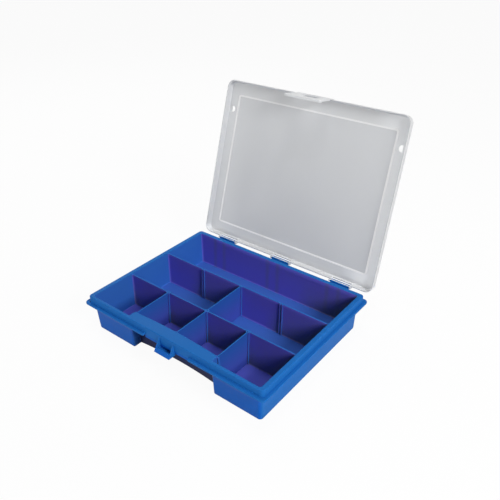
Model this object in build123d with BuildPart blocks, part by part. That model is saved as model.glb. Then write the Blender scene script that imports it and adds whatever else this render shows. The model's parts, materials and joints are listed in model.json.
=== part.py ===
from build123d import *
import os

os.makedirs("parts", exist_ok=True)

# Driving dimensions, in millimetres. X is the width, -Y the latch side, +Y the hinge side,
# and Z is up. The origin is the centre of the tray's footprint, on its underside.

# Tray: a drafted body under a turned-out rim, with a bay behind the latch
tray_width = 312.0
tray_depth = 241.0
rim_height = 54.0
wall = 1.8
floor = 2.0
foot_inset_side = 12.0
foot_inset_front = 10.5
foot_inset_back = 11.5
rim_inset_side = 9.4
rim_inset_front = 7.2
rim_inset_back = 9.4
rim_edge_radius = 0.8
body_corner_radius = 5.0
foot_radius = 2.0
bay_half_width = 70.8
bay_root_radius = 1.0
bay_corner_radius = 2.5
bay_foot_end_y = -97.9
bay_foot_middle_y = -94.0
bay_rim_end_y = -103.3
bay_rim_middle_y = -100.3

# Rim: the wall turns out and down to a flange that runs round the tray
lip_inset = 4.5
lip_corner_radius = 5.0
lip_top_radius = 1.2
flange_top = 44.5
flange_thickness = 3.0
flange_corner_radius = 6.0
flange_edge_radius = 0.8
flange_gap_half_width = 38.5
flange_gap_end_radius = 2.5
apron_bottom = 37.5

# Compartments: three rows between two moulded dividers
divider_top = 52.0
divider_top_thickness = 2.0
divider_foot_thickness = 6.4
divider_edge = 0.5
rear_divider_y = 33.7
front_divider_y = -40.0
cell_corner_radius = 3.0
cell_bay_radius = 1.2
cell_floor_radius = 2.0

# Guide ribs, in pairs that hold a lift-out divider upright between them
guide_xs = (-71.0, 0.0, 71.0)
rib_width = 1.5
rib_reach = 2.0
rib_root = 1.4
rib_top = 52.0
plate_thickness = 1.5
plate_side_gap = 0.3
plate_end_gap = 0.6
plate_floor_gap = 0.3
plate_corner_radius = 3.0
plate_edge_radius = 0.4

# Latch catch: two curved cheeks and a plate under the rim's front, over the bay
catch_half_width = 13.2
catch_top = 50.5
catch_bottom = 33.4
catch_middle_height = 42.5
catch_middle_reach = 4.4
catch_reach = 10.0
catch_wall = 1.8
catch_plate_height = 5.0

# Hinge: three C-shaped hooks on the flange hold bars moulded in the lid
hinge_y = 130.0
hinge_z = 46.7
hinge_xs = (-105.0, 0.0, 105.0)
hook_width = 30.0
hook_radius = 3.0
hook_rise = 1.2
bar_diameter = 3.2
bar_clearance = 0.05
hook_arm_thickness = 2.0
hinge_end_gap = 0.5
ear_width = 2.5
ear_radius = 2.5

# Lid, given as it lies closed, then drawn on a plane that is turned open about the hinge
lid_open_angle = 106.8
lid_top = 57.5
lid_bottom = 45.2
lid_half_width = 154.6
lid_front_y = -122.1
lid_back_y = 128.5
lid_corner_radius = 12.0
lid_wall = 1.6
lid_panel = 1.8
lid_draft = 5.0
lid_edge_radius = 1.5
lid_inner_radius = 1.2
lid_rim_radius = 0.4
bead_half_width = 136.6
bead_front_y = -100.5
bead_back_y = 108.1
bead_corner_radius = 4.0
bead_width = 2.0
bead_height = 1.0
window_y = -76.5
window_outer_x = 147.5
window_inner_x = 141.0
window_half_length = 4.7
hinge_notch_height = 7.0
hinge_notch_depth = 5.0

# Latch flap: hangs from the lid's free edge on a thin hinge and snaps over the catch.
# Its own weight swings it in a little from square with the lid. Down the flap, lengths are
# taken from its root.
flap_half_width = 30.0
flap_side_gap = 1.0
flap_root_y = -121.8
flap_root_z = 56.6
flap_root_radius = 0.85
flap_root_gap = 0.35
flap_droop_angle = 7.0
flap_length = 39.0
flap_thickness = 1.6
flap_bar_height = 6.0
flap_bar_front_step = 0.8
flap_bar_back_step = 1.0
flap_bar_corner_radius = 2.0
flap_bar_edge_radius = 0.3
flap_window_half_width = 14.0
flap_window_start = 4.3
flap_window_end = 23.9
flap_window_radius = 1.0

guide_gap = plate_thickness + 2 * plate_side_gap
flange_bottom = flange_top - flange_thickness
lip_front_y = -(tray_depth / 2 - lip_inset)


def drafted(at_foot, at_rim, height):
    """A length that changes evenly from the underside of the tray to its rim."""
    return at_foot + (at_rim - at_foot) * height / rim_height


def divider_half(height):
    """Half the thickness of a moulded divider, which grows towards the floor."""
    share = (divider_top - height) / (divider_top - floor)
    growth = (divider_foot_thickness - divider_top_thickness) * share
    edge = max(0, height - divider_top + divider_edge)
    return (divider_top_thickness + growth) / 2 - edge


def side_x(height):
    return tray_width / 2 - drafted(foot_inset_side, rim_inset_side, height)


def back_y(height):
    return tray_depth / 2 - drafted(foot_inset_back, rim_inset_back, height)


def front_y(height):
    return drafted(foot_inset_front, rim_inset_front, height) - tray_depth / 2


def bay_end_y(height):
    return drafted(bay_foot_end_y, bay_rim_end_y, height)


def bay_middle_y(height):
    return drafted(bay_foot_middle_y, bay_rim_middle_y, height)


def bayed_outline(height, rear_y, inset, corner_radius, bay_radius):
    """The body's outline at one height, set in by inset, with its back edge at rear_y."""
    outer_x = side_x(height) - inset
    near_y = front_y(height) + inset
    bay_x = bay_half_width + inset
    end_y = bay_end_y(height) + inset
    middle_y = bay_middle_y(height) + inset
    with BuildSketch(Plane.XY.offset(height)) as outline:
        with BuildLine():
            Polyline(
                (bay_x, end_y),
                (bay_x, near_y),
                (outer_x, near_y),
                (outer_x, rear_y),
                (-outer_x, rear_y),
                (-outer_x, near_y),
                (-bay_x, near_y),
                (-bay_x, end_y),
            )
            ThreePointArc((-bay_x, end_y), (0, middle_y), (bay_x, end_y))
        make_face()
        fillet(outline.vertices().filter_by(lambda v: abs(v.X) > bay_x + 1), corner_radius)
        near_corners = outline.vertices().filter_by(lambda v: v.Y < near_y + 0.01)
        fillet(near_corners.filter_by(lambda v: abs(v.X) < bay_x + 0.01), bay_radius)
        bay_roots = outline.vertices().filter_by(lambda v: abs(v.Y - end_y) < 0.01)
        fillet(bay_roots, bay_root_radius + inset)
    return outline.sketch


def row_outline(height, near_y, rear_y):
    """The outline at one height of a row of compartments that runs the whole width."""
    with BuildSketch(Plane.XY.offset(height)) as outline:
        with Locations((0, (near_y + rear_y) / 2)):
            RectangleRounded(2 * (side_x(height) - wall), rear_y - near_y, cell_corner_radius)
    return outline.sketch


def front_row_outline(height):
    rear_y = front_divider_y - divider_half(height)
    return bayed_outline(height, rear_y, wall, cell_corner_radius, cell_bay_radius)


def middle_row_outline(height):
    near_y = front_divider_y + divider_half(height)
    return row_outline(height, near_y, rear_divider_y - divider_half(height))


def rear_row_outline(height):
    return row_outline(height, rear_divider_y + divider_half(height), back_y(height) - wall)


def cavity(outline):
    """The space of one row of compartments, rounded where its walls meet the floor."""
    with BuildPart() as space:
        levels = (floor, divider_top - divider_edge, divider_top)
        loft([outline(height) for height in levels], ruled=True)
        fillet(space.faces().sort_by(Axis.Z)[0].edges(), cell_floor_radius)
    return space.part


def rounded_ring(height, inset, radius):
    """A rounded rectangle at one height, set in from the tray's own outline."""
    with BuildSketch(Plane.XY.offset(height)) as ring:
        RectangleRounded(tray_width - 2 * inset, tray_depth - 2 * inset, radius)
    return ring.sketch


def guide_pair(x, face_y, way):
    """Two upright ribs on a drafted wall face, whose Y at a height is face_y(height)."""
    with BuildPart() as pair:
        for offset_x in (-guide_gap / 2 - rib_width, guide_gap / 2):
            with BuildSketch(Plane.YZ.offset(x + offset_x)):
                with BuildLine():
                    Polyline(
                        (face_y(floor) - way * rib_root, floor / 2),
                        (face_y(floor) + way * rib_reach, floor / 2),
                        (face_y(rib_top) + way * rib_reach, rib_top),
                        (face_y(rib_top) - way * rib_root, rib_top),
                        close=True,
                    )
                make_face()
            extrude(amount=rib_width)
    return pair.part


def rear_divider_front(height):
    return rear_divider_y - divider_half(height)


def front_divider_rear(height):
    return front_divider_y + divider_half(height)


def front_divider_front(height):
    return front_divider_y - divider_half(height)


def bay_face(height):
    return bay_middle_y(height) + wall


def bay_corner_face(height):
    return bay_end_y(height) + wall


def is_inner(edge):
    """Whether an edge of the rim's top is on the side of the compartments."""
    middle = edge.center()
    within_side = abs(middle.X) < side_x(rim_height) - wall / 2
    within_back = middle.Y < back_y(rim_height) - wall / 2
    return within_side and within_back and middle.Y > front_y(rim_height) + wall / 2


def hook(x):
    """A hook open at the top, round the hinge axis, on an arm from the flange's back edge."""
    with BuildPart() as part:
        with BuildSketch(Plane.YZ.offset(x - hook_width / 2)):
            with Locations((hinge_y, hinge_z)):
                Circle(hook_radius)
            arm_reach = hinge_y - tray_depth / 2 + lip_inset
            arm_y = hinge_y - arm_reach / 2
            arm_z = hinge_z - hook_radius + hook_arm_thickness / 2
            with Locations((arm_y, arm_z)):
                Rectangle(arm_reach, hook_arm_thickness)
            with Locations((hinge_y, hinge_z)):
                Circle(bar_diameter / 2 + bar_clearance, mode=Mode.SUBTRACT)
            with Locations((hinge_y, hinge_z + hook_rise + hook_radius / 2)):
                Rectangle(2 * hook_radius, hook_radius, mode=Mode.SUBTRACT)
        extrude(amount=hook_width)
    return part.part


# Tray
with BuildPart() as body:
    loft(
        [
            bayed_outline(height, back_y(height), 0, body_corner_radius, bay_corner_radius)
            for height in (0, rim_height)
        ],
        ruled=True,
    )
    fillet(body.faces().sort_by(Axis.Z)[0].edges(), foot_radius)

with BuildPart() as channel:
    extrude(
        rounded_ring(flange_bottom, lip_inset + wall, lip_corner_radius - wall),
        amount=rim_height - wall - flange_bottom,
    )
    add(body.part, mode=Mode.SUBTRACT)

with BuildPart() as opening:
    loft(
        [
            bayed_outline(
                height, back_y(height) - wall, wall, cell_corner_radius, cell_bay_radius
            )
            for height in (divider_top, rim_height + 1)
        ],
        ruled=True,
    )

with BuildPart() as flange:
    extrude(rounded_ring(flange_bottom, 0, flange_corner_radius), amount=flange_thickness)
    with BuildSketch(Plane.XY.offset(flange_bottom)):
        with Locations((0, lip_front_y - lip_inset / 2)):
            Rectangle(2 * flange_gap_half_width, lip_inset)
    extrude(amount=flange_thickness, mode=Mode.SUBTRACT)
    gap_ends = flange.edges().filter_by(Axis.Z).group_by(Axis.Y)[0]
    fillet(gap_ends, flange_gap_end_radius)
    outer_edges = flange.edges().filter_by(Axis.Z, reverse=True)
    fillet(outer_edges, flange_edge_radius)

with BuildPart() as apron:
    with BuildSketch(Plane.XY.offset(apron_bottom)):
        with Locations((0, lip_front_y + wall / 2)):
            Rectangle(2 * flange_gap_half_width, wall)
    extrude(amount=flange_bottom - apron_bottom + wall)

with BuildPart() as catch:
    reach_y = lip_front_y - catch_reach
    cheek_middle = (lip_front_y - catch_middle_reach, catch_middle_height)
    with BuildSketch(Plane.YZ.offset(-catch_half_width)):
        with BuildLine():
            ThreePointArc((lip_front_y, catch_top), cheek_middle, (reach_y, catch_bottom))
            Polyline(
                (reach_y, catch_bottom),
                (lip_front_y + wall, catch_bottom),
                (lip_front_y + wall, catch_top),
                (lip_front_y, catch_top),
            )
        make_face()
    extrude(amount=2 * catch_half_width)
    with BuildSketch(Plane.YZ.offset(catch_wall - catch_half_width)):
        plate_top = catch_bottom + catch_plate_height
        with BuildLine():
            Polyline(
                (lip_front_y, catch_top + 1),
                (reach_y - 1, catch_top + 1),
                (reach_y - 1, plate_top),
                (reach_y + catch_wall + catch_plate_height / 2, plate_top),
                (reach_y + catch_wall, catch_bottom + catch_wall),
                (lip_front_y, catch_bottom + catch_wall),
                close=True,
            )
        make_face()
    extrude(amount=2 * (catch_half_width - catch_wall), mode=Mode.SUBTRACT)

with BuildPart() as tray:
    extrude(
        rounded_ring(flange_bottom, lip_inset, lip_corner_radius),
        amount=rim_height - flange_bottom,
    )
    fillet(tray.faces().sort_by(Axis.Z)[-1].edges(), lip_top_radius)
    add(body.part)
    add(flange.part)
    add(channel.part, mode=Mode.SUBTRACT)
    add(apron.part)
    add(catch.part)
    for x in hinge_xs:
        add(hook(x))
    for outline in (front_row_outline, middle_row_outline, rear_row_outline):
        add(cavity(outline), mode=Mode.SUBTRACT)
    add(opening.part, mode=Mode.SUBTRACT)
    rim_edges = tray.edges().filter_by(lambda e: abs(e.center().Z - rim_height) < 0.01)
    inner_edges = rim_edges.filter_by(is_inner)
    fillet(inner_edges, rim_edge_radius)
    for x in guide_xs:
        bay_wall_face = bay_corner_face if x else bay_face
        add(guide_pair(x, rear_divider_front, -1))
        add(guide_pair(x, front_divider_rear, 1))
        add(guide_pair(x, front_divider_front, -1))
        add(guide_pair(x, bay_wall_face, 1))
tray.part.label = "tray"
export_step(tray.part, "parts/tray.step")


# Lift-out dividers
def lift_out_divider(x, near_face, rear_face):
    """A plate that stands across one row, between two pairs of guide ribs."""
    foot = floor + plate_floor_gap
    shoulder = divider_top - divider_edge
    near_top_y = near_face(shoulder) + plate_end_gap
    rear_top_y = rear_face(shoulder) - plate_end_gap
    with BuildPart() as plate:
        with BuildSketch(Plane.YZ.offset(x - plate_thickness / 2)) as side:
            with BuildLine():
                Polyline(
                    (near_face(foot) + plate_end_gap, foot),
                    (rear_face(foot) - plate_end_gap, foot),
                    (rear_top_y, shoulder),
                    (rear_top_y, divider_top),
                    (near_top_y, divider_top),
                    (near_top_y, shoulder),
                    close=True,
                )
            make_face()
            fillet(side.vertices().group_by(Axis.Y)[0], plate_corner_radius)
        extrude(amount=plate_thickness)
        fillet(plate.edges().group_by(Axis.Z)[-1], plate_edge_radius)
    return plate.part


divider_places = {
    "divider_middle": (guide_xs[1], front_divider_rear, rear_divider_front),
    "divider_front_left": (guide_xs[0], bay_corner_face, front_divider_front),
    "divider_front_centre": (guide_xs[1], bay_face, front_divider_front),
    "divider_front_right": (guide_xs[2], bay_corner_face, front_divider_front),
}
for name, place in divider_places.items():
    divider = lift_out_divider(*place)
    divider.label = name
    export_step(divider, f"parts/{name}.step")


# Lid, on a plane whose origin is on the hinge axis and whose Z is the closed lid's up
lid_plane = Plane((0, hinge_y, hinge_z)).rotated((-lid_open_angle, 0, 0))


def lid_level(height):
    """The plane that lies at this height when the lid is closed."""
    return lid_plane.offset(height - hinge_z)


def lid_side(x):
    """The plane across the lid at this X, whose own X and Y are the closed lid's Y and Z."""
    return Plane(lid_plane.from_local_coords((x, 0, 0)), x_dir=lid_plane.y_dir, z_dir=lid_plane.x_dir)


def lid_rectangle(height, half_width, near_y, rear_y, radius):
    """A rounded rectangle at one height of the closed lid."""
    with BuildSketch(lid_level(height)) as outline:
        with Locations((0, (near_y + rear_y) / 2 - hinge_y)):
            RectangleRounded(2 * half_width, rear_y - near_y, radius)
    return outline.sketch


def lid_block(x, width, near_y, rear_y, low_z, high_z):
    """A box centred on x, between heights and depths given as they lie with the lid closed."""
    with BuildPart() as block:
        with BuildSketch(lid_level(low_z)):
            with Locations((x, (near_y + rear_y) / 2 - hinge_y)):
                Rectangle(width, rear_y - near_y)
        extrude(amount=high_z - low_z)
    return block.part


def lid_pin(x, length, radius):
    """A round pin about the hinge axis, centred on x."""
    with BuildPart() as pin:
        with BuildSketch(lid_side(x - length / 2)):
            Circle(radius)
        extrude(amount=length)
    return pin.part


with BuildPart() as bead:
    bead_level = lid_top - lid_panel - bead_height
    bead_outline = (bead_half_width, bead_front_y, bead_back_y)
    extrude(lid_rectangle(bead_level, *bead_outline, bead_corner_radius), amount=2 * bead_height)
    extrude(
        lid_rectangle(
            bead_level,
            bead_half_width - bead_width,
            bead_front_y + bead_width,
            bead_back_y - bead_width,
            bead_corner_radius - bead_width,
        ),
        amount=2 * bead_height,
        mode=Mode.SUBTRACT,
    )

with BuildPart() as lid_windows:
    for side in (-1, 1):
        with BuildSketch(lid_level(lid_bottom)):
            with BuildLine():
                round_x = side * (window_inner_x + window_half_length)
                outer_x = side * window_outer_x
                far_y = window_y + window_half_length - hinge_y
                near_y = window_y - window_half_length - hinge_y
                Polyline((round_x, far_y), (outer_x, far_y), (outer_x, near_y), (round_x, near_y))
                ThreePointArc(
                    (round_x, near_y),
                    (side * window_inner_x, window_y - hinge_y),
                    (round_x, far_y),
                )
            make_face()
        extrude(amount=lid_top - lid_bottom + 1)

skirt_height = lid_top - lid_bottom
lid_up = Axis(lid_plane.origin, lid_plane.z_dir)

with BuildPart() as pan:
    extrude(
        lid_rectangle(
            lid_bottom,
            lid_half_width - lid_wall,
            lid_front_y + lid_wall,
            lid_back_y - lid_wall,
            lid_corner_radius - lid_wall,
        ),
        amount=skirt_height - lid_panel,
        taper=lid_draft,
    )
    fillet(pan.faces().sort_by(lid_up)[-1].edges(), lid_inner_radius)

with BuildPart() as lid:
    extrude(
        lid_rectangle(lid_bottom, lid_half_width, lid_front_y, lid_back_y, lid_corner_radius),
        amount=skirt_height,
        taper=lid_draft,
    )
    fillet(lid.faces().sort_by(lid_up)[-1].edges(), lid_edge_radius)
    add(pan.part, mode=Mode.SUBTRACT)
    fillet(lid.faces().sort_by(lid_up)[0].edges(), lid_rim_radius)
    add(bead.part)
    add(lid_windows.part, mode=Mode.SUBTRACT)
    # the free edge is cut away for the flap, first its skirt and then the panel's edge
    notch_width = 2 * (flap_half_width + flap_side_gap)
    skirt_inner_y = lid_front_y + lid_wall + lid_edge_radius
    panel_edge_y = flap_root_y + flap_root_radius + flap_root_gap
    panel_underside = lid_top - lid_panel
    before_lid = lid_front_y - 1
    below_lid = lid_bottom - 1
    add(
        lid_block(0, notch_width, before_lid, skirt_inner_y, below_lid, panel_underside),
        mode=Mode.SUBTRACT,
    )
    add(
        lid_block(0, notch_width, before_lid, panel_edge_y, below_lid, lid_top + 1),
        mode=Mode.SUBTRACT,
    )
    # the hinge side is notched for each hook, and a bar crosses each notch between two ears
    for x in hinge_xs:
        add(
            lid_block(
                x,
                hook_width + 2 * hinge_end_gap,
                lid_back_y - hinge_notch_depth,
                lid_back_y + 1,
                lid_bottom - 1,
                lid_bottom + hinge_notch_height,
            ),
            mode=Mode.SUBTRACT,
        )
        add(lid_pin(x, hook_width + 2 * (hinge_end_gap + ear_width), bar_diameter / 2))
        for side in (-1, 1):
            ear_x = x + side * (hook_width + 2 * hinge_end_gap + ear_width) / 2
            add(lid_pin(ear_x, ear_width, ear_radius))
lid.part.label = "lid"
export_step(lid.part, "parts/lid.step")


# Latch flap
def flap_side(x):
    """The plane across the flap at this X, from its root, with Y up the flap and X inwards."""
    side = lid_side(x)
    root = side.from_local_coords((flap_root_y - hinge_y, flap_root_z - hinge_z, 0))
    across = Plane(root, x_dir=side.x_dir, z_dir=side.z_dir)
    return across.rotated((flap_droop_angle, 0, 0))


with BuildPart() as latch_flap:
    front_x = -flap_thickness / 2
    back_x = flap_thickness / 2
    bar_front_x = front_x - flap_bar_front_step
    bar_back_x = back_x + flap_bar_back_step
    bar_top = flap_bar_height - flap_length
    with BuildSketch(flap_side(-flap_half_width)):
        with BuildLine():
            Polyline(
                (back_x, 0),
                (back_x, bar_top + flap_bar_back_step),
                (bar_back_x, bar_top),
                (bar_back_x, -flap_length),
                (bar_front_x, -flap_length),
                (bar_front_x, bar_top),
                (front_x, bar_top + flap_bar_front_step),
                (front_x, 0),
                close=True,
            )
        make_face()
        Circle(flap_root_radius)
    extrude(amount=2 * flap_half_width)
    with BuildSketch(flap_side(0)):
        with Locations((0, -(flap_window_start + flap_window_end) / 2)):
            Rectangle(2 * flap_thickness, flap_window_end - flap_window_start)
    extrude(amount=flap_window_half_width, both=True, mode=Mode.SUBTRACT)
    across_flap = latch_flap.edges().filter_by(Axis(flap_side(0).origin, flap_side(0).x_dir))
    window_corners = across_flap.group_by(SortBy.LENGTH)[0]
    bar_corners = across_flap.group_by(SortBy.LENGTH)[-1]
    fillet(window_corners, flap_window_radius)
    fillet(bar_corners, flap_bar_corner_radius)
    up_flap = Axis(flap_side(0).origin, flap_side(0).y_dir)
    fillet(latch_flap.faces().sort_by(up_flap)[0].edges(), flap_bar_edge_radius)
latch_flap.part.label = "latch_flap"
export_step(latch_flap.part, "parts/latch_flap.step")
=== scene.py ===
"""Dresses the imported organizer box: moulded blue tray and dividers, frosted lid and latch."""

import json
import math

import bmesh
import bpy
from bpy.props import FloatProperty, FloatVectorProperty, IntProperty, PointerProperty
from mathutils import Euler, Matrix, Vector


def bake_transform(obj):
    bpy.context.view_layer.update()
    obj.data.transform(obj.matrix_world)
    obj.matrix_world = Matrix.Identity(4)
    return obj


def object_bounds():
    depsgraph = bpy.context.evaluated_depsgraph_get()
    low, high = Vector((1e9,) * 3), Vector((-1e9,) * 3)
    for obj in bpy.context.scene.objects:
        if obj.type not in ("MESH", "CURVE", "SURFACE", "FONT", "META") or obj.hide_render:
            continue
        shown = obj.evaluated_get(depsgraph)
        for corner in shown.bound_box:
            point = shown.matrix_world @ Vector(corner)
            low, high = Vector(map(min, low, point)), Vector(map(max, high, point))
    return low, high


bl_info = {
    "name": "Seed Organizer Box",
    "version": (1, 0, 0),
    "blender": (4, 5, 0),
    "location": "View3D > Sidebar > Organizer",
    "description": "Finishes the pieces of a hinged compartment box and sets its studio",
    "category": "Object",
}

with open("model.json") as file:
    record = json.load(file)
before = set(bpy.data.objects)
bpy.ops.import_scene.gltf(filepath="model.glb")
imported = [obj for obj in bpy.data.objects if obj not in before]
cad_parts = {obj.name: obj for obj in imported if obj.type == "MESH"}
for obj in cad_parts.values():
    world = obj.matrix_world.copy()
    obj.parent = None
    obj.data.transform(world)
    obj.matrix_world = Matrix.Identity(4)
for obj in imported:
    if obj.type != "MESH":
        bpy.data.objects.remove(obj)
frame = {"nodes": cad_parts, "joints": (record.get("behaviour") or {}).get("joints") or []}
nodes = frame["nodes"]
joints = {joint["name"]: joint for joint in frame["joints"]}
cad_low, cad_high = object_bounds()

DIVIDER_NODES = (
    "divider_middle",
    "divider_front_left",
    "divider_front_centre",
    "divider_front_right",
)

# The lid is packed open. Its places are easier to give as it lies closed, from the hinge axis.
lid_hinge = Vector(joints["lid_hinge"]["pos_m"])
lid_turn = Matrix.Rotation(math.radians(joints["lid_hinge"]["range_deg"][1]), 3, "X")


def closed_from_hinge(place):
    """A place on the open lid, as it lies from the hinge axis with the lid closed."""
    return lid_turn @ (Vector(place) - lid_hinge)


def open_place(from_hinge):
    """Where a point given from the hinge axis on the closed lid stands on the open one."""
    return lid_turn.transposed() @ Vector(from_hinge) + lid_hinge


flap_root = closed_from_hinge(joints["flap_hinge"]["pos_m"])

# How far a face has to lean towards an axis to count as facing along it: from none to all.
FACING = (0.3, 0.9)
# The part of a noise texture's output that is made use of.
NOISE_SPAN = (0.3, 0.7)
# The share of clear directions round a spot at which its painted shade starts, and is full.
WELL_OPENNESS = (0.97, 0.6)
SHUT_OPENNESS = (0.36, 0.17)
OPENNESS_SAMPLES = 16
# Scales and details of the noise textures, per metre.
FLOW_SCALE = 18.0
FLOW_DETAIL = 3.0
HAZE_SCALE = 14.0
HAZE_DETAIL = 3.0
GRAIN_DETAIL = 2.0
# How far the roughness goes either way with the noise.
ROUGHNESS_SPREAD = 0.05
GRAIN_STRENGTH = 0.12
GRAIN_DEPTH = 0.0001
PLASTIC_IOR = 1.49
# Half the width of the change from the lid's panel to its margin, in metres.
MARGIN_FADE = 0.0005
# The width of the change from the margin to the milky skirt, in metres.
SKIRT_FADE = 0.0008
# The bead's tint fades between these shares of its width, from its middle line.
BEAD_FADE = (0.85, 0.4)
SMOOTH_ANGLE = math.radians(30)

FLOOR_SIZE = 12.0
PAPER_WHITE = (0.9, 0.9, 0.9, 1.0)
PAPER_ROUGHNESS = 0.9
SENSOR_WIDTH = 36.0
CLIP_START = 0.01
LAMP_TARGET = (0.0, 0.0, 0.05)
# Name, place, width and height of each lamp, in metres. Its power is a setting.
LAMPS = (
    ("key", (1.41, -0.3, 0.95), 0.5, 0.5),
    ("front", (-0.55, -1.42, 0.08), 1.4, 0.12),
    ("back", (-1.06, 0.61, 1.08), 0.8, 0.8),
    ("top", (0.1, 0.1, 1.6), 0.6, 0.6),
)


def colour_property(name, description, default):
    return FloatVectorProperty(
        name=name,
        description=description,
        subtype="COLOR",
        size=3,
        min=0.0,
        max=1.0,
        default=default,
    )


def share_property(name, description, default):
    return FloatProperty(
        name=name, description=description, subtype="FACTOR", min=0.0, max=1.0, default=default
    )


def length_property(name, description, default):
    return FloatProperty(name=name, description=description, unit="LENGTH", default=default)


def power_property(name, description, default):
    return FloatProperty(
        name=name, description=description, unit="POWER", min=0.0, default=default
    )


class BluePlasticSettings(bpy.types.PropertyGroup):
    """The coloured polypropylene of the tray and the dividers."""

    colour: colour_property(
        "Colour",
        "Pigment of the moulded plastic",
        (0.013, 0.134, 0.45),
    )
    flow_colour: colour_property(
        "Flow colour",
        "Paler pigment where the melt flowed",
        (0.03, 0.3, 0.8),
    )
    # Painted shade: violet standing in for the shade down in the compartments.
    well_shade_colour: colour_property(
        "Deep colour",
        "Violet that the pigment turns to down in the compartments",
        (0.155, 0.122, 0.62),
    )
    # Painted shadow: near-black standing in for the shadow that the lamp on the right casts on
    # walls that face the latch.
    painted_shadow_colour: colour_property(
        "Darkest colour",
        "Pigment where the walls that face the latch are shut in from the right",
        (0.15, 0.15, 0.13),
    )
    # The way towards the lamp on the right, along which the painted shadow is looked for.
    key_lamp_way: FloatVectorProperty(
        name="Shut side",
        description="Way to look from those walls: towards the right of the box and a little up",
        subtype="DIRECTION",
        size=3,
        default=(0.82, -0.2, 0.53),
    )
    hook_spacing: length_property(
        "Hook spacing",
        "Distance between neighbouring hinge hooks",
        0.105,
    )
    # Painted shade: dark upright lines on the back wall's inside, behind each hinge hook.
    hook_line_darkness: share_property(
        "Sink marks",
        "How dark the marks are that the hinge hooks leave inside the back wall",
        0.28,
    )
    hook_line_spread: length_property(
        "Sink spread",
        "How far each mark is from the middle of its hook",
        0.0093,
    )
    hook_line_width: length_property(
        "Sink width",
        "Width of each mark",
        0.012,
    )
    hook_line_reach: length_property(
        "Sink reach",
        "How far the marks show in front of the back wall's face",
        0.01,
    )
    # Painted shade: the front wall under the flange gets a darker, deeper blue where it faces
    # away from the lamps.
    front_shade_colour: colour_property(
        "Front colour",
        "Pigment of the front wall under the flange, which faces away from the lamps",
        (0.006, 0.104, 0.475),
    )
    front_height: length_property(
        "Front height",
        "Height of the flange's underside",
        0.0415,
    )
    # Painted shadow: near-black for the recessed wall in the shade under the rim.
    bay_shadow_colour: colour_property(
        "Bay colour",
        "Pigment of the recessed wall under the rim, behind the catch",
        (0.013, 0.006, 0.045),
    )
    flow_strength: share_property(
        "Flow marks",
        "How much paler the pigment is where the melt flowed",
        0.1,
    )
    roughness: share_property(
        "Roughness",
        "Roughness of the satin mould surface",
        0.42,
    )
    specular: share_property(
        "Specular",
        "Strength of the sheen",
        0.04,
    )
    grain: length_property(
        "Grain",
        "Width of the fine grain that the mould leaves",
        0.0006,
    )
    well_reach: length_property(
        "Well reach",
        "How near the walls round a spot are that turn it violet",
        0.1,
    )
    well_half_width: length_property(
        "Well half width",
        "Half the width across all the compartments",
        0.1455,
    )
    well_front: length_property(
        "Well front",
        "Place of the compartments' front end",
        -0.1122,
    )
    well_back: length_property(
        "Well back",
        "Place of the compartments' back end",
        0.1102,
    )
    # How much of the compartments' painted shade each kind of face takes.
    side_share: share_property(
        "Side share",
        "How violet the side walls turn, against the walls that face the latch",
        0.15,
    )
    floor_share: share_property(
        "Floor share",
        "How violet the floors of the middle and rear rows turn, on the same scale",
        0.27,
    )
    front_floor_share: share_property(
        "Front floor share",
        "How violet the floors of the front row turn, on the same scale",
        0.75,
    )
    front_row_back: length_property(
        "Front row back",
        "Place of the long divider behind the front row",
        -0.0425,
    )
    bay_half_width: length_property(
        "Bay half width",
        "Half the width of the recess behind the catch",
        0.0712,
    )
    bay_front: length_property(
        "Bay front",
        "Place of the recessed wall's front, under the rim",
        -0.1035,
    )
    bay_back: length_property(
        "Bay back",
        "Place of the recessed wall's back",
        -0.0925,
    )
    # Painted shade: a divider's faces are darker than its top edge, and darker and more violet
    # towards the foot.
    divider_face_shade_colour: colour_property(
        "Divider colour",
        "Pigment of a lift-out divider's faces near its top edge",
        (0.023, 0.088, 0.385),
    )
    divider_foot_shade_colour: colour_property(
        "Divider foot colour",
        "Pigment of a lift-out divider's faces at its foot",
        (0.055, 0.074, 0.395),
    )
    divider_shade_top: length_property(
        "Divider shade top",
        "Height at which a lift-out divider starts to turn violet",
        0.052,
    )
    divider_shade_bottom: length_property(
        "Divider shade bottom",
        "Height below which a lift-out divider is violet",
        0.012,
    )


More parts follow.
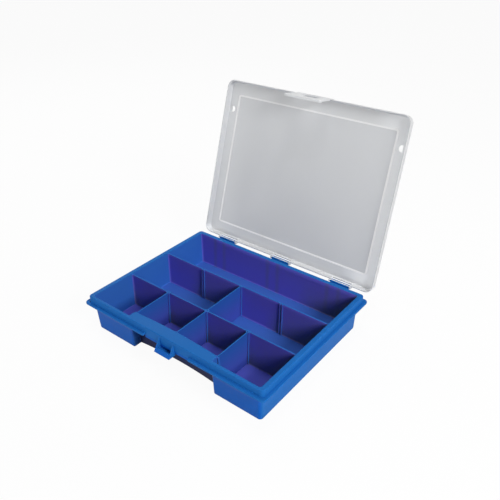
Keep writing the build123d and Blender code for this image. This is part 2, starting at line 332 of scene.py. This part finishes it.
class ClearPlasticSettings(bpy.types.PropertyGroup):
    """The natural, frosted polypropylene of the lid and its flap."""

    panel_colour: colour_property(
        "Panel colour",
        "Tint of the panel inside the moulded bead",
        (0.72, 0.73, 0.742),
    )
    margin_colour: colour_property(
        "Margin colour",
        "Tint of the margin outside the bead",
        (0.79, 0.80, 0.81),
    )
    latch_side_colour: colour_property(
        "Latch side colour",
        "Tint of the margin along the latch edge, in the shade of the skirt",
        (0.68, 0.685, 0.69),
    )
    latch_side_width: length_property(
        "Latch side width",
        "How far that shade reaches from the latch edge",
        0.03,
    )
    # Painted shade: the lid is darker and bluer towards the hinge.
    hinge_side_shade_colour: colour_property(
        "Hinge side colour",
        "Tint that the lid takes on towards the hinge",
        (0.5, 0.515, 0.55),
    )
    hinge_side_shade_share: share_property(
        "Hinge side share",
        "How far the lid takes on that tint at the hinge",
        0.5,
    )
    # Painted light: a pale tint standing in for the light that comes through the right edge and
    # the hinge edge.
    painted_light_colour: colour_property(
        "Light margin colour",
        "Tint of the margin along the right edge and the hinge edge, where light comes through",
        (0.9, 0.91, 0.92),
    )
    hinge_edge_light_share: share_property(
        "Hinge edge share",
        "How far the margin takes on that tint along the hinge edge",
        0.45,
    )
    hinge_edge_start: length_property(
        "Hinge edge start",
        "Place where the lid starts to turn lighter, from the hinge axis",
        -0.0155,
    )
    hinge_edge_end: length_property(
        "Hinge edge end",
        "Place where the lid has turned lighter, from the hinge axis",
        -0.006,
    )
    # Painted light: the lid turns lighter along its left edge.
    left_light_share: share_property(
        "Left side share",
        "How far the lid takes on the margin's tint along its left edge",
        0.45,
    )
    side_start: length_property(
        "Side start",
        "Distance from the middle of the lid at which its sides start to turn lighter",
        0.09,
    )
    # Partly the thicker plastic's own whiteness, partly painted light along the bead.
    bead_tint_and_light: colour_property(
        "Bead colour",
        "Tint of the bead, where the thicker plastic scatters more light",
        (1.0, 1.0, 1.0),
    )
    flap_colour: colour_property(
        "Flap colour",
        "Tint of the latch flap, which looks milkier than the lid",
        (0.83, 0.84, 0.85),
    )
    skirt_colour: colour_property(
        "Skirt colour",
        "Tint of the lid's skirt and hinge bars, as milky as the flap",
        (0.74, 0.75, 0.76),
    )
    flap_clouds: share_property(
        "Flap clouds",
        "How far faint clouds in the milky plastic take on the panel's tint",
        0.25,
    )
    transmission: share_property(
        "Transmission",
        "Share of the light that passes through the plastic",
        0.5,
    )
    flap_transmission: share_property(
        "Flap transmission",
        "Share of the light that passes through the flap, the skirt and the hinge bars",
        0.2,
    )
    skirt_width: length_property(
        "Skirt width",
        "Distance from the lid's outline within which it is as milky as the flap",
        0.0036,
    )
    lid_half_width: length_property(
        "Lid half width",
        "Half the width of the lid",
        0.1546,
    )
    lid_front: length_property(
        "Lid front",
        "Place of the lid's latch edge, with the lid closed",
        -0.1221,
    )
    lid_back: length_property(
        "Lid back",
        "Place of the lid's hinge edge, with the lid closed",
        0.1285,
    )
    lid_radius: length_property(
        "Lid corner radius",
        "Radius of the lid's corners",
        0.012,
    )
    panel_roughness: share_property(
        "Panel roughness",
        "How much the frosted panel blurs what is behind it",
        0.45,
    )
    margin_roughness: share_property(
        "Margin roughness",
        "How much the smoother margin blurs what is behind it",
        0.42,
    )
    bead_half_width: length_property(
        "Bead half width",
        "Half the width of the bead's rectangle, to its outside",
        0.1366,
    )
    bead_front: length_property(
        "Bead front",
        "Place of the bead's side near the latch, with the lid closed",
        -0.1005,
    )
    bead_back: length_property(
        "Bead back",
        "Place of the bead's side near the hinge, with the lid closed",
        0.1081,
    )
    bead_radius: length_property(
        "Bead corner radius",
        "Radius of the bead's corners",
        0.004,
    )
    bead_width: length_property(
        "Bead width",
        "Width of the bead",
        0.002,
    )
    web_half_width: length_property(
        "Web half width",
        "Half the width of the thin hinge between lid and flap",
        0.0295,
    )
    web_reach: length_property(
        "Web reach",
        "How far the middle of the thin hinge lies from the flap's axis, towards the lid",
        0.00095,
    )
    web_rise: length_property(
        "Web rise",
        "How far the thin hinge lies above the flap's axis, with the lid closed",
        0.0003,
    )
    web_span: length_property(
        "Web span",
        "Length of the thin hinge across the gap, with its roots",
        0.0016,
    )
    web_root_thickness: length_property(
        "Web root thickness",
        "Thickness of the thin hinge where it joins the lid and the flap",
        0.0008,
    )
    web_waist: share_property(
        "Web waist",
        "Thickness at the middle of the thin hinge, as a share of its roots",
        0.45,
    )
    web_cuts: IntProperty(
        name="Web cuts",
        description="Bends that the thin hinge can make across the gap",
        min=1,
        max=32,
        default=7,
    )


class StudioSettings(bpy.types.PropertyGroup):
    """Camera, lamps and floor."""

    camera_place: FloatVectorProperty(
        name="Camera place",
        description="Where the camera stands",
        subtype="TRANSLATION",
        unit="LENGTH",
        size=3,
        default=(0.4542, -0.5179, 0.5404),
    )
    azimuth: FloatProperty(
        name="Azimuth",
        description="Turn of the camera round the box, from looking along +Y",
        subtype="ANGLE",
        default=math.radians(38.38),
    )
    elevation: FloatProperty(
        name="Elevation",
        description="Height of the camera's line of sight above the horizon",
        subtype="ANGLE",
        default=math.radians(27.25),
    )
    roll: FloatProperty(
        name="Roll",
        description="Turn of the camera about its line of sight",
        subtype="ANGLE",
        default=math.radians(-0.61),
    )
    lens: FloatProperty(
        name="Lens",
        description="Focal length in millimetres on a 36 mm sensor",
        min=1.0,
        default=43.56,
    )
    shift: FloatProperty(
        name="Shift",
        description="How far the view is shifted up, as a share of its width",
        default=-0.08,
    )
    key_power: power_property("Key power", "Power of the lamp on the right", 20.0)
    front_power: power_property("Front power", "Power of the low lamp on the latch side", 7.5)
    back_power: power_property("Back power", "Power of the lamp behind on the left", 7.0)
    top_power: power_property("Top power", "Power of the lamp overhead", 6.5)
    floor_glow: share_property(
        "Floor glow",
        "How much of the floor's white is its own where it is seen, and doesn't take a shadow",
        0.95,
    )
    ambient: FloatProperty(
        name="Ambient",
        description="Strength of the white surround as it lights the box",
        min=0.0,
        default=0.07,
    )


def deselect_all():
    bpy.ops.object.select_all(action="DESELECT")


def new_material(name):
    """A material whose Principled shader is ready to be set up."""
    material = bpy.data.materials.new(name)
    material.use_nodes = True
    return material, material.node_tree, material.node_tree.nodes["Principled BSDF"]


def assign(node, material):
    node.data.materials.clear()
    node.data.materials.append(material)


def feed(tree, socket, value):
    """Links a node's output to a socket, or sets a plain value on it."""
    if isinstance(value, bpy.types.NodeSocket):
        tree.links.new(value, socket)
    else:
        socket.default_value = value


def calculate(tree, operation, *values):
    node = tree.nodes.new("ShaderNodeMath")
    node.operation = operation
    for socket, value in zip(node.inputs, values):
        feed(tree, socket, value)
    return node.outputs[0]


def remap(tree, value, low, high, start=0.0, end=1.0):
    """Takes value from the span low..high to start..end, smoothly and with its ends held."""
    node = tree.nodes.new("ShaderNodeMapRange")
    node.interpolation_type = "SMOOTHSTEP"
    limits = (("From Min", low), ("From Max", high), ("To Min", start), ("To Max", end))
    for name, limit in limits:
        node.inputs[name].default_value = limit
    feed(tree, node.inputs["Value"], value)
    return node.outputs["Result"]


def blend_colours(tree, share, first, second):
    """Mixes two colours, each a node's output or three plain numbers."""
    node = tree.nodes.new("ShaderNodeMix")
    node.data_type = "RGBA"
    feed(tree, node.inputs["Factor"], share)
    for name, colour in (("A", first), ("B", second)):
        is_output = isinstance(colour, bpy.types.NodeSocket)
        feed(tree, node.inputs[name], colour if is_output else (*colour, 1.0))
    return node.outputs["Result"]


def object_place(tree):
    return tree.nodes.new("ShaderNodeTexCoord").outputs["Object"]


def separate(tree, vector):
    parts = tree.nodes.new("ShaderNodeSeparateXYZ")
    tree.links.new(vector, parts.inputs[0])
    return parts.outputs


def surface_normal(tree):
    normal = tree.nodes.new("ShaderNodeTexCoord").outputs["Normal"]
    return separate(tree, normal)


def noise(tree, vector, scale, detail, name):
    texture = tree.nodes.new("ShaderNodeTexNoise")
    texture.name = name
    texture.inputs["Scale"].default_value = scale
    texture.inputs["Detail"].default_value = detail
    tree.links.new(vector, texture.inputs["Vector"])
    return texture.outputs["Fac"]


def add_bump(tree, shader, height, strength, distance):
    bump = tree.nodes.new("ShaderNodeBump")
    bump.inputs["Strength"].default_value = strength
    bump.inputs["Distance"].default_value = distance
    tree.links.new(height, bump.inputs["Height"])
    tree.links.new(bump.outputs["Normal"], shader.inputs["Normal"])


def inside_span(tree, value, low, high):
    """1 where value lies between low and high, and 0 elsewhere."""
    off_middle = calculate(tree, "SUBTRACT", value, (low + high) / 2)
    off_middle = calculate(tree, "ABSOLUTE", off_middle)
    return calculate(tree, "LESS_THAN", off_middle, (high - low) / 2)


def multiply(tree, *values):
    product = values[0]
    for value in values[1:]:
        product = calculate(tree, "MULTIPLY", product, value)
    return product


def inside_box(tree, place, **spans):
    """1 where a place lies in the span given for each axis that is named, and 0 elsewhere."""
    masks = [inside_span(tree, place[axis], *span) for axis, span in spans.items()]
    return multiply(tree, *masks)


def openness(tree, reach, normal=None):
    """The share of the directions round a point that are clear for the given reach.

    They lie about the face's own normal, and the piece itself is all that can be in their way,
    or they lie about the normal given, and every piece can be.
    """
    node = tree.nodes.new("ShaderNodeAmbientOcclusion")
    node.samples = OPENNESS_SAMPLES
    node.inputs["Distance"].default_value = reach
    node.only_local = normal is None
    if normal is not None:
        combine = tree.nodes.new("ShaderNodeCombineXYZ")
        for socket, value in zip(combine.inputs, normal):
            socket.default_value = value
        tree.links.new(combine.outputs[0], node.inputs["Normal"])
    return node.outputs["AO"]


def shaded_hook_lines(tree, settings, place):
    """1 along the pair of upright lines of painted shade behind each hinge hook, inside the back
    wall.
    """
    half_spacing = settings.hook_spacing / 2
    from_hook = calculate(tree, "WRAP", place["X"], half_spacing, -half_spacing)
    from_hook = calculate(tree, "ABSOLUTE", from_hook)
    from_mark = calculate(tree, "SUBTRACT", from_hook, settings.hook_line_spread)
    from_mark = calculate(tree, "ABSOLUTE", from_mark)
    mark = remap(tree, from_mark, settings.hook_line_width / 2, 0.0)
    back = settings.well_back
    on_back = inside_span(tree, place["Y"], back - settings.hook_line_reach, back)
    return multiply(tree, mark, on_back)


def well_shade_share(tree, settings, place, normal, latchward):
    """How much painted shade a face takes, as violet: 1 where it faces the latch, and less on
    side walls and floors.
    """
    wall = remap(tree, latchward, *FACING, settings.side_share, 1.0)
    in_front_row = inside_box(tree, place, Y=(settings.well_front, settings.front_row_back))
    floor = remap(
        tree,
        in_front_row,
        0.0,
        1.0,
        settings.floor_share - settings.side_share,
        settings.front_floor_share - settings.side_share,
    )
    floor = multiply(tree, floor, remap(tree, normal["Z"], *FACING))
    return calculate(tree, "ADD", wall, floor)


def tray_pigment_and_shade(tree, settings):
    """Blue in the open, with painted shade: violet down in the compartments, near-black in their
    walls shut in from the right, deeper blue on the front wall under the flange, lines behind the
    hinge hooks and a dark recessed wall behind the catch.
    """
    reach = settings.well_reach
    closed_in = remap(tree, openness(tree, reach), *WELL_OPENNESS)
    # Painted shadow: how shut in a spot is towards the lamp on the right.
    shut_in = remap(tree, openness(tree, reach, settings.key_lamp_way), *SHUT_OPENNESS)

    place = separate(tree, object_place(tree))
    normal = surface_normal(tree)
    latchward = multiply(tree, normal["Y"], -1.0)
    faces_latch = remap(tree, latchward, *FACING)
    well = settings.well_half_width
    in_well = inside_box(
        tree, place, X=(-well, well), Y=(settings.well_front, settings.well_back)
    )
    bay = settings.bay_half_width
    in_bay = inside_box(tree, place, X=(-bay, bay), Y=(settings.bay_front, settings.bay_back))
    in_front = inside_box(
        tree, place, Y=(cad_low.y, settings.bay_front), Z=(0.0, settings.front_height)
    )

    # Painted shade on the faces of the front wall under the flange that face the latch.
    front_wall_shade = multiply(tree, in_front, faces_latch)
    pigment = blend_colours(tree, front_wall_shade, settings.colour, settings.front_shade_colour)
    # Painted shade: violet where walls close the spot in, inside the compartments.
    violet = well_shade_share(tree, settings, place, normal, latchward)
    violet = multiply(tree, closed_in, in_well, violet)
    pigment = blend_colours(tree, violet, pigment, settings.well_shade_colour)
    # Painted shade in lines behind the hinge hooks.
    hook_line_shade = multiply(tree, shaded_hook_lines(tree, settings, place), faces_latch, settings.hook_line_darkness)
    pigment = blend_colours(tree, hook_line_shade, pigment, settings.painted_shadow_colour)
    # Painted shadow from the right on latch-facing walls in the compartments.
    darkest = multiply(tree, shut_in, in_well, faces_latch)
    pigment = blend_colours(tree, darkest, pigment, settings.painted_shadow_colour)
    # Painted shadow on the recessed wall under the rim.
    bay_wall_shadow = multiply(tree, in_bay, faces_latch)
    return blend_colours(tree, bay_wall_shadow, pigment, settings.bay_shadow_colour)


def divider_pigment_and_shade(tree, settings):
    """Blue on the top edge of a lift-out divider, its faces darker as painted shade and turning
    violet to the foot.
    """
    height = separate(tree, object_place(tree))["Z"]
    # Painted shade that deepens down the divider's faces.
    shade_down_faces = remap(tree, height, settings.divider_shade_top, settings.divider_shade_bottom)
    faces = blend_colours(tree, shade_down_faces, settings.divider_face_shade_colour, settings.divider_foot_shade_colour)
    faces_up = remap(tree, surface_normal(tree)["Z"], *FACING)
    return blend_colours(tree, faces_up, faces, settings.colour)


def blue_plastic(settings, name, pigment):
    """Satin blue polypropylene with a fine mould grain and faint flow marks."""
    material, tree, shader = new_material(name)
    place = object_place(tree)
    flow = noise(tree, place, FLOW_SCALE, FLOW_DETAIL, "flow")
    grain = noise(tree, place, 1.0 / settings.grain, GRAIN_DETAIL, "grain")

    marks = multiply(tree, flow, settings.flow_strength)
    marked = blend_colours(tree, marks, pigment(tree, settings), settings.flow_colour)
    tree.links.new(marked, shader.inputs["Base Color"])
    smoothest = settings.roughness - ROUGHNESS_SPREAD
    roughest = settings.roughness + ROUGHNESS_SPREAD
    sheen = remap(tree, flow, *NOISE_SPAN, smoothest, roughest)
    tree.links.new(sheen, shader.inputs["Roughness"])
    shader.inputs["Specular IOR Level"].default_value = settings.specular
    add_bump(tree, shader, grain, GRAIN_STRENGTH, GRAIN_DEPTH)
    return material


def place_on_lid(tree):
    """X, Y and Z of a point of the lid from the hinge axis, as the lid lies closed."""
    turn = tree.nodes.new("ShaderNodeMapping")
    turn.inputs["Rotation"].default_value = lid_turn.to_euler()
    turn.inputs["Location"].default_value = -(lid_turn @ lid_hinge)
    tree.links.new(object_place(tree), turn.inputs["Vector"])
    return separate(tree, turn.outputs["Vector"])


def past_rectangle(tree, place, half_width, front, back, radius):
    """How far a point of the lid lies outside a rounded rectangle on it, in metres."""
    middle_y = (front + back) / 2
    across = calculate(tree, "ABSOLUTE", place["X"])
    along = calculate(tree, "ADD", place["Y"], lid_hinge.y - middle_y)
    along = calculate(tree, "ABSOLUTE", along)
    over_x = calculate(tree, "SUBTRACT", across, half_width - radius)
    over_y = calculate(tree, "SUBTRACT", along, (back - front) / 2 - radius)
    free_x = calculate(tree, "MAXIMUM", over_x, 0.0)
    free_y = calculate(tree, "MAXIMUM", over_y, 0.0)
    corner = calculate(tree, "POWER", free_x, 2.0)
    corner = calculate(tree, "ADD", corner, calculate(tree, "POWER", free_y, 2.0))
    outside = calculate(tree, "SQRT", corner)
    inside = calculate(tree, "MINIMUM", calculate(tree, "MAXIMUM", over_x, over_y), 0.0)
    return calculate(tree, "SUBTRACT", calculate(tree, "ADD", outside, inside), radius)


def milkiness(tree, settings, place):
    """0 on the lid's panel and margin, rising to 1 on its skirt and its hinge bars."""
    past = past_rectangle(
        tree,
        place,
        settings.lid_half_width,
        settings.lid_front,
        settings.lid_back,
        settings.lid_radius,
    )
    return remap(tree, past, -settings.skirt_width - SKIRT_FADE, -settings.skirt_width)


def at_hinge_edge(tree, settings, place):
    """0 on most of the lid, rising to 1 along its hinge edge."""
    return remap(tree, place["Y"], settings.hinge_edge_start, settings.hinge_edge_end)


def lid_tint(tree, settings, place, past_bead):
    """A hazy panel inside a bead and a paler margin, with the margin shaded along the latch edge,
    painted shade towards the hinge, painted light along the sides and the hinge edge, and a bead
    that is whiter partly as painted light.
    """
    in_margin = remap(tree, past_bead, -MARGIN_FADE, MARGIN_FADE)
    from_bead = calculate(tree, "ADD", past_bead, settings.bead_width / 2)
    from_bead = calculate(tree, "ABSOLUTE", from_bead)
    bead_limits = (share * settings.bead_width for share in BEAD_FADE)
    on_bead = remap(tree, from_bead, *bead_limits)

    latch_edge = flap_root.y
    latchward = remap(tree, place["Y"], latch_edge + settings.latch_side_width, latch_edge)
    margin = blend_colours(tree, latchward, settings.margin_colour, settings.latch_side_colour)
    tint = blend_colours(tree, in_margin, settings.panel_colour, margin)
    # Painted shade, darker and bluer towards the hinge.
    hinge_shade = remap(tree, place["Y"], latch_edge, 0.0, 0.0, settings.hinge_side_shade_share)
    tint = blend_colours(tree, hinge_shade, tint, settings.hinge_side_shade_colour)

    # Painted light: the lid lighter towards its left edge, its right margin and its hinge edge.
    start, end = settings.side_start, settings.bead_half_width
    lighter_left = remap(tree, place["X"], -start, -end, 0.0, settings.left_light_share)
    tint = blend_colours(tree, lighter_left, tint, settings.margin_colour)
    lighter_right = multiply(tree, in_margin, remap(tree, place["X"], start, end))
    lighter = multiply(tree, at_hinge_edge(tree, settings, place), settings.hinge_edge_light_share)
    lighter = calculate(tree, "MAXIMUM", lighter, lighter_right)
    tint = blend_colours(tree, lighter, tint, settings.painted_light_colour)
    # The bead's white is partly its own, partly painted light.
    return blend_colours(tree, on_bead, tint, settings.bead_tint_and_light)


def clear_plastic(settings, name, milky):
    """Frosted natural polypropylene: milky all over, or only on the lid's skirt and bars."""
    material, tree, shader = new_material(name)
    haze = noise(tree, object_place(tree), HAZE_SCALE, HAZE_DETAIL, "haze")
    clouds = remap(tree, haze, *NOISE_SPAN, 0.0, settings.flap_clouds)
    place = place_on_lid(tree)
    past_bead = past_rectangle(
        tree,
        place,
        settings.bead_half_width,
        settings.bead_front,
        settings.bead_back,
        settings.bead_radius,
    )
    if milky:
        tint = blend_colours(tree, clouds, settings.flap_colour, settings.panel_colour)
        clear = settings.flap_transmission
    else:
        milk = milkiness(tree, settings, place)
        # Painted light on the skirt and hinge bars along the hinge edge.
        skirt = blend_colours(
            tree,
            at_hinge_edge(tree, settings, place),
            settings.skirt_colour,
            settings.painted_light_colour,
        )
        skirt = blend_colours(tree, clouds, skirt, settings.panel_colour)
        tint = blend_colours(tree, milk, lid_tint(tree, settings, place, past_bead), skirt)
        clear = remap(tree, milk, 0.0, 1.0, settings.transmission, settings.flap_transmission)
    tree.links.new(tint, shader.inputs["Base Color"])
    feed(tree, shader.inputs["Transmission Weight"], clear)
    shader.inputs["IOR"].default_value = PLASTIC_IOR

    frost = remap(tree, haze, *NOISE_SPAN, -ROUGHNESS_SPREAD, ROUGHNESS_SPREAD)
    roughness = (settings.panel_roughness, settings.margin_roughness)
    level = remap(tree, past_bead, -MARGIN_FADE, MARGIN_FADE, *roughness)
    tree.links.new(calculate(tree, "ADD", level, frost), shader.inputs["Roughness"])
    return material


class ORGANIZER_OT_finish_tray(bpy.types.Operator):
    """Give the tray its blue plastic"""

    bl_idname = "organizer.finish_tray"
    bl_label = "Finish Tray"

    def execute(self, context):
        material = blue_plastic(context.scene.organizer_blue, "blue_plastic", tray_pigment_and_shade)
        assign(nodes["tray"], material)
        return {"FINISHED"}


class ORGANIZER_OT_finish_dividers(bpy.types.Operator):
    """Give the lift-out dividers their blue plastic"""

    bl_idname = "organizer.finish_dividers"
    bl_label = "Finish Dividers"

    def execute(self, context):
        settings = context.scene.organizer_blue
        material = blue_plastic(settings, "blue_plastic_divider", divider_pigment_and_shade)
        for name in DIVIDER_NODES:
            assign(nodes[name], material)
        return {"FINISHED"}


class ORGANIZER_OT_finish_clear(bpy.types.Operator):
    """Give the lid and its latch flap their frosted plastic"""

    bl_idname = "organizer.finish_clear"
    bl_label = "Finish Lid and Flap"

    def execute(self, context):
        settings = context.scene.organizer_clear
        lid = clear_plastic(settings, "clear_plastic_lid", milky=False)
        flap = clear_plastic(settings, "clear_plastic_flap", milky=True)
        assign(nodes["lid"], lid)
        assign(nodes["latch_flap"], flap)
        return {"FINISHED"}


class ORGANIZER_OT_mould_flap_web(bpy.types.Operator):
    """Mould the thin living hinge between the lid's edge and the latch flap"""

    bl_idname = "organizer.mould_flap_web"
    bl_label = "Mould Flap Web"

    def execute(self, context):
        settings = context.scene.organizer_clear
        deselect_all()
        bpy.ops.mesh.primitive_cube_add(size=1.0)
        web = context.object
        web.name = "flap_web"
        half_span = settings.web_span / 2
        web.scale = (2 * settings.web_half_width, settings.web_span, settings.web_root_thickness)
        bpy.ops.object.transform_apply(location=False, rotation=False, scale=True)

        bpy.ops.object.mode_set(mode="EDIT")
        mesh = bmesh.from_edit_mesh(web.data)
        for edge in mesh.edges:
            first, second = edge.verts
            edge.select_set(abs(first.co.y - second.co.y) > half_span)
        bpy.ops.mesh.subdivide(number_cuts=settings.web_cuts)
        on_ring = half_span / 100
        for number in range(1, settings.web_cuts + 1):
            ring_y = -half_span + settings.web_span * number / (settings.web_cuts + 1)
            bpy.ops.mesh.select_all(action="DESELECT")
            bpy.ops.mesh.select_mode(type="VERT")
            mesh = bmesh.from_edit_mesh(web.data)
            for vertex in mesh.verts:
                vertex.select_set(abs(vertex.co.y - ring_y) < on_ring)
            mesh.select_flush(True)
            waist = math.cos(math.pi / 2 * ring_y / half_span)
            thinness = 1 - (1 - settings.web_waist) * waist
            bpy.ops.transform.resize(value=(1.0, 1.0, thinness), center_override=(0.0, 0.0, 0.0))
        bpy.ops.object.mode_set(mode="OBJECT")

        # the web lies level with the lid, a little above the flap's axis, across the gap
        middle = flap_root + Vector((0.0, settings.web_reach, settings.web_rise))
        web.location = open_place(middle)
        web.rotation_euler = lid_turn.transposed().to_euler()
        bpy.ops.object.transform_apply(location=True, rotation=True, scale=False)
        bpy.ops.object.shade_smooth_by_angle(angle=SMOOTH_ANGLE)
        assign(web, nodes["latch_flap"].data.materials[0])
        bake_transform(web)
        return {"FINISHED"}


def seen_directly(tree):
    """1 where a surface is seen by the camera, in a reflection or through the lid."""
    path = tree.nodes.new("ShaderNodeLightPath")
    total = path.outputs["Is Camera Ray"]
    for output in ("Is Glossy Ray", "Is Transmission Ray"):
        total = calculate(tree, "MAXIMUM", total, path.outputs[output])
    return total


def floor_material(settings):
    """White paper that shows white and keeps a soft shadow."""
    material, tree, shader = new_material("studio_paper")
    shader.inputs["Base Color"].default_value = PAPER_WHITE
    shader.inputs["Roughness"].default_value = PAPER_ROUGHNESS
    glow = tree.nodes.new("ShaderNodeEmission")
    mix = tree.nodes.new("ShaderNodeMixShader")
    share = multiply(tree, seen_directly(tree), settings.floor_glow)
    tree.links.new(share, mix.inputs["Fac"])
    tree.links.new(shader.outputs[0], mix.inputs[1])
    tree.links.new(glow.outputs[0], mix.inputs[2])
    tree.links.new(mix.outputs[0], tree.nodes["Material Output"].inputs["Surface"])
    return material


def add_lamp(name, place, width, height, power):
    deselect_all()
    bpy.ops.object.light_add(type="AREA", location=place)
    lamp = bpy.context.object
    lamp.name = name
    lamp.data.shape = "RECTANGLE"
    lamp.data.size = width
    lamp.data.size_y = height
    lamp.data.energy = power
    aim = Vector(LAMP_TARGET) - Vector(place)
    lamp.rotation_euler = aim.to_track_quat("-Z", "Y").to_euler()


class ORGANIZER_OT_set_stage(bpy.types.Operator):
    """Lay the floor, hang the lamps and stand the camera"""

    bl_idname = "organizer.set_stage"
    bl_label = "Set Stage"

    def execute(self, context):
        settings = context.scene.organizer_studio
        deselect_all()
        bpy.ops.mesh.primitive_plane_add(size=FLOOR_SIZE, location=(0.0, 0.0, cad_low.z))
        floor = context.object
        floor.name = "studio_floor"
        assign(floor, floor_material(settings))

        for name, place, width, height in LAMPS:
            add_lamp(name, place, width, height, getattr(settings, name + "_power"))

        world = context.scene.world or bpy.data.worlds.new("studio")
        context.scene.world = world
        world.use_nodes = True
        tree = world.node_tree
        background = tree.nodes["Background"]
        background.inputs["Color"].default_value = (1.0, 1.0, 1.0, 1.0)
        strength = remap(tree, seen_directly(tree), 0.0, 1.0, settings.ambient, 1.0)
        tree.links.new(strength, background.inputs["Strength"])

        bpy.ops.object.camera_add(location=settings.camera_place)
        camera = context.object
        camera.name = "camera"
        stand = Euler((math.pi / 2 - settings.elevation, 0.0, settings.azimuth))
        roll = Matrix.Rotation(settings.roll, 3, "Z")
        camera.rotation_euler = (stand.to_matrix() @ roll).to_euler()
        camera.data.sensor_width = SENSOR_WIDTH
        camera.data.lens = settings.lens
        camera.data.shift_y = settings.shift
        camera.data.clip_start = CLIP_START
        context.scene.camera = camera
        context.scene.view_settings.view_transform = "Standard"
        return {"FINISHED"}


STEPS = {
    "organizer_blue": (ORGANIZER_OT_finish_tray, ORGANIZER_OT_finish_dividers),
    "organizer_clear": (ORGANIZER_OT_finish_clear, ORGANIZER_OT_mould_flap_web),
    "organizer_studio": (ORGANIZER_OT_set_stage,),
}


class ORGANIZER_PT_box(bpy.types.Panel):
    """Sizes, colours and steps of the organizer box"""

    bl_idname = "ORGANIZER_PT_box"
    bl_label = "Organizer Box"
    bl_space_type = "VIEW_3D"
    bl_region_type = "UI"
    bl_category = "Organizer"

    def draw(self, context):
        layout = self.layout
        for group, operators in STEPS.items():
            settings = getattr(context.scene, group)
            for name in settings.__annotations__:
                layout.prop(settings, name)
            for operator in operators:
                layout.operator(operator.bl_idname)


GROUPS = {
    "organizer_blue": BluePlasticSettings,
    "organizer_clear": ClearPlasticSettings,
    "organizer_studio": StudioSettings,
}

CLASSES = (
    *GROUPS.values(),
    ORGANIZER_OT_finish_tray,
    ORGANIZER_OT_finish_dividers,
    ORGANIZER_OT_finish_clear,
    ORGANIZER_OT_mould_flap_web,
    ORGANIZER_OT_set_stage,
    ORGANIZER_PT_box,
)


def register():
    for cls in CLASSES:
        bpy.utils.register_class(cls)
    for name, group in GROUPS.items():
        setattr(bpy.types.Scene, name, PointerProperty(type=group))


def unregister():
    for name in GROUPS:
        delattr(bpy.types.Scene, name)
    for cls in reversed(CLASSES):
        bpy.utils.unregister_class(cls)


def main():
    register()
    bpy.ops.organizer.finish_tray()
    bpy.ops.organizer.finish_dividers()
    bpy.ops.organizer.finish_clear()
    bpy.ops.organizer.mould_flap_web()
    bpy.ops.organizer.set_stage()


if __name__ == "__main__":
    main()
